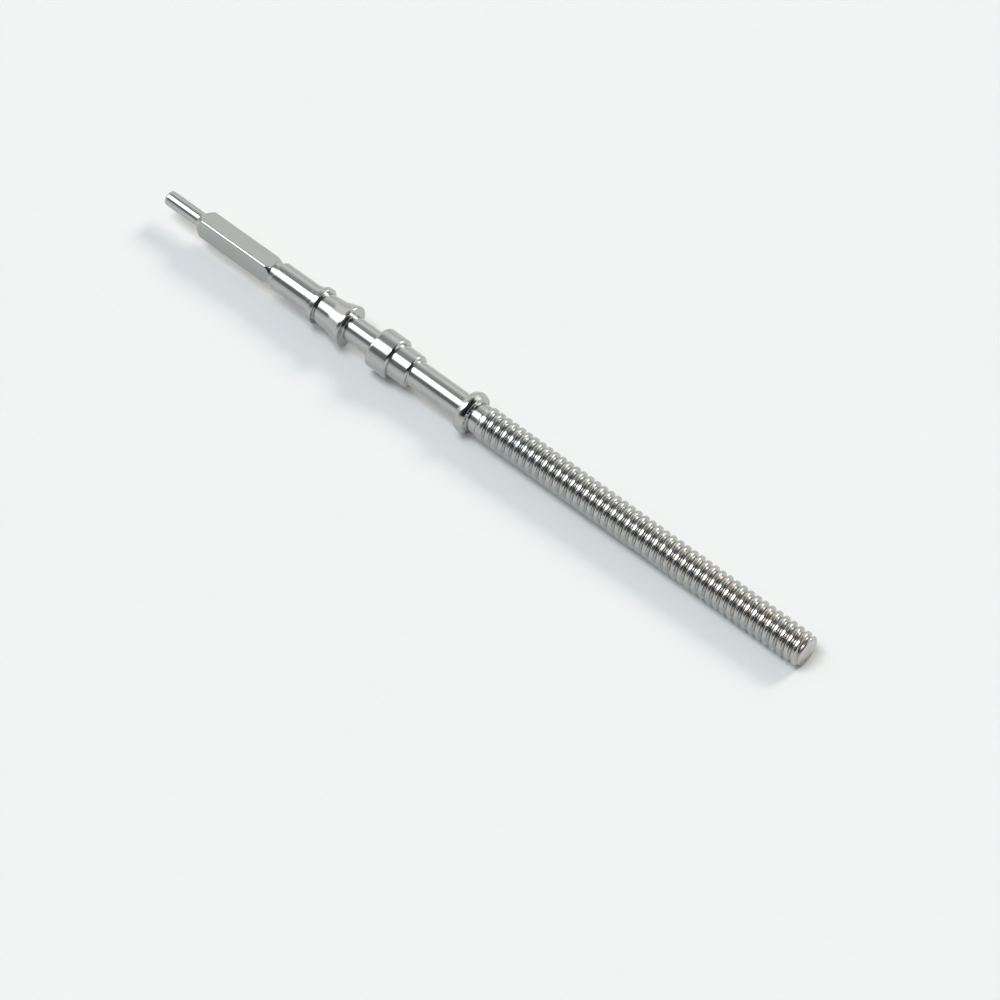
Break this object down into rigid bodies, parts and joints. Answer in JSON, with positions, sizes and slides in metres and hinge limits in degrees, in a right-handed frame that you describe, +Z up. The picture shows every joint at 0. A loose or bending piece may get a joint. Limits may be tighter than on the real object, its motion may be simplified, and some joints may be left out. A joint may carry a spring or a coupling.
{
  "type": "watch stem",
  "caption": "Slim turned steel winding stem with a pilot, a milled driving square, bearing collars, a setting-lever slot and a long threaded crown end.",
  "frame": {"origin": "on the stem's axis, at the inner end of the crown thread", "axes": "+X along the stem towards the crown end of the thread, so the pilot points to -X; +Z is up as the stem lies; the driving square is rolled 12 degrees about X, as it lies in the picture"},
  "size_m": [0.0213, 0.0012, 0.0012],
  "materials": {
    "polished_steel": "polished"
  },
  "bodies": {
    "root": {"winding_stem": "polished_steel"}
  },
  "joints": []
}
